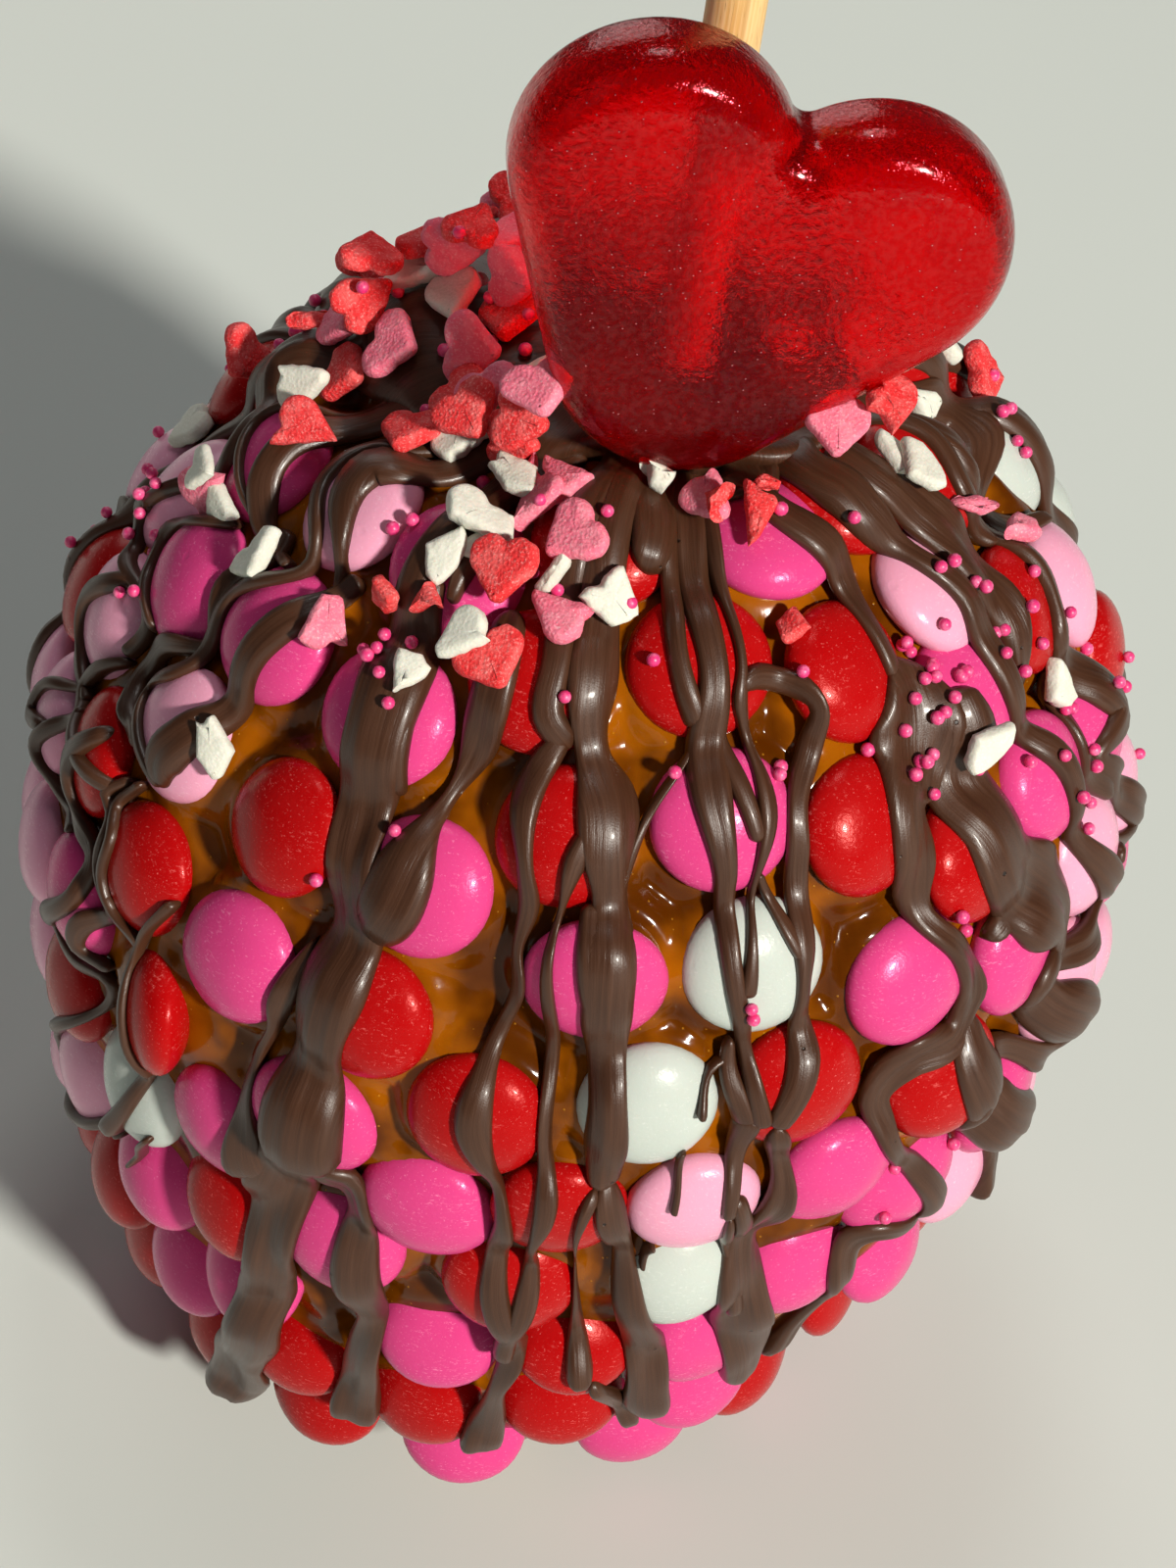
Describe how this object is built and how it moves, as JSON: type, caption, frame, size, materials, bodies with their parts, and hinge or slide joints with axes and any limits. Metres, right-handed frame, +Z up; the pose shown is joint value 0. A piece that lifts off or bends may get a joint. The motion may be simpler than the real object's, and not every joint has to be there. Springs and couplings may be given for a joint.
{
  "type": "caramel apple",
  "caption": "Caramel apple on a wooden stick, studded with sugar-shelled chocolate lentils, draped in dark chocolate, with sugar sprinkles and a red jelly heart on top.",
  "frame": {"origin": "centre of the flat foot the apple stands on", "axes": "+Z up along the stick, -Y towards the front, the side that the jelly heart's domed face looks to"},
  "size_m": [0.1168, 0.1162, 0.205],
  "materials": {
    "caramel": "glossy, slightly translucent amber-brown caramel with small bubbles",
    "dark_chocolate": "set dark chocolate, satin, with fine flow streaks",
    "candy_red": "polished sugar shell, faintly speckled",
    "candy_pink": "polished sugar shell, faintly speckled",
    "candy_pale_pink": "polished sugar shell, faintly speckled",
    "candy_white": "polished sugar shell",
    "jelly_red": "translucent red jelly with a fine pebbled skin",
    "wood": "smooth pale dowel with lengthwise grain",
    "sprinkle_red": "pressed sugar, matte and grainy",
    "sprinkle_pink": "pressed sugar, matte and grainy",
    "sprinkle_white": "pressed sugar, matte and grainy",
    "sugar_pearl": "hot pink sugar pearls, satin"
  },
  "bodies": {
    "root": {"apple": "caramel", "chocolate_cap": "dark_chocolate", "jelly_heart": "jelly_red", "stick": "wood", "candy_01": "candy_red", "candy_02": "candy_pink", "candy_03": "candy_red", "candy_04": "candy_pale_pink", "candy_05": "candy_pink", "candy_06": "candy_red", "candy_07": "candy_red", "candy_08": "candy_red", "candy_09": "candy_pink", "candy_10": "candy_pale_pink", "candy_11": "candy_pink", "candy_12": "candy_pink", "candy_13": "candy_pink", "candy_14": "candy_red", "candy_15": "candy_red", "candy_16": "candy_red", "candy_17": "candy_pale_pink", "candy_18": "candy_pink", "candy_19": "candy_pink", "candy_20": "candy_white", "candy_21": "candy_pink", "candy_22": "candy_red", "candy_23": "candy_pink", "candy_24": "candy_red", "candy_25": "candy_pink", "candy_26": "candy_red", "candy_27": "candy_white", "candy_28": "candy_red", "candy_29": "candy_red", "candy_30": "candy_pink", "candy_31": "candy_pale_pink", "candy_32": "candy_pink", "candy_33": "candy_pink", "candy_34": "candy_white", "candy_35": "candy_pink", "candy_36": "candy_red", "candy_37": "candy_pink", "candy_38": "candy_pink", "candy_39": "candy_pink", "candy_40": "candy_red", "candy_41": "candy_pink", "candy_42": "candy_pale_pink", "candy_43": "candy_pink", "candy_44": "candy_red"}
  },
  "joints": []
}
